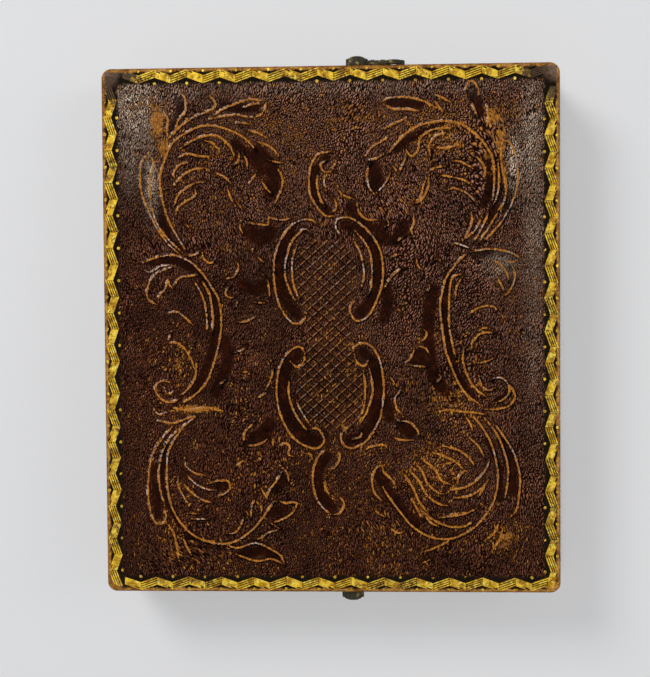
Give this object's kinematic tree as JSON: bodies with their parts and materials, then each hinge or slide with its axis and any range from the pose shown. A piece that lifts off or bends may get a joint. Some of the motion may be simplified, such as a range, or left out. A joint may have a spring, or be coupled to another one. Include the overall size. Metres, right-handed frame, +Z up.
{
  "type": "leather photograph case",
  "caption": "Hinged leather-covered wooden case with swing hooks, holding a framed plate under glass opposite a velvet pad.",
  "frame": {"origin": "middle of the case's back, on the surface it lies on", "axes": "+X to the right with the hinge on the left, +Y towards the head, +Z up out of the cover"},
  "size_m": [0.0824, 0.0992, 0.0193],
  "materials": {
    "leather": "embossed, dark brown, worn",
    "pine": "planed, bare",
    "card": "buff card",
    "silvered_plate": "silvered copper, tarnished at its edges",
    "mat_brass": "stamped and lacquered",
    "glass": "clear",
    "velvet": "cut-pile velvet",
    "hook_brass": "cast, dark patina"
  },
  "bodies": {
    "tray": {"tray_back_leather": "leather", "tray_base_board": "pine", "tray_rail_left": "pine", "tray_rail_right": "pine", "tray_rail_head": "pine", "tray_rail_foot": "pine", "tray_side_leather": "leather", "spine_leather": "leather", "hinge_lining": "leather", "packing_card": "card", "silvered_plate": "silvered_plate", "brass_mat": "mat_brass", "cover_glass": "glass", "preserver_frame": "mat_brass", "velvet_retainer": "velvet", "catch_pin_head": "hook_brass", "catch_pin_foot": "hook_brass"},
    "cover": {"cover_board": "pine", "cover_rail_left": "pine", "cover_rail_right": "pine", "cover_rail_head": "pine", "cover_rail_foot": "pine", "cover_top_leather": "leather", "cover_side_leather": "leather", "cushion_card": "card", "cushion_pad": "velvet", "hook_pivot_head": "hook_brass", "hook_pivot_foot": "hook_brass"},
    "hook_head": {"hook_head": "hook_brass"},
    "hook_foot": {"hook_foot": "hook_brass"}
  },
  "joints": [
    {"name": "cover_hinge", "type": "hinge", "parent": "tray", "child": "cover", "pos_m": [-0.04138, 0, 0.01135], "axis": [0, -1, 0], "range_deg": [0, 180], "deforming": ["spine_leather", "hinge_lining"]},
    {"name": "hook_head_swing", "type": "hinge", "parent": "cover", "child": "hook_head", "pos_m": [0.005, 0.04757, 0.01375], "axis": [0, -1, 0], "range_deg": [-90, 40]},
    {"name": "hook_foot_swing", "type": "hinge", "parent": "cover", "child": "hook_foot", "pos_m": [0.0037, -0.04757, 0.01375], "axis": [0, -1, 0], "range_deg": [0, 130]}
  ]
}
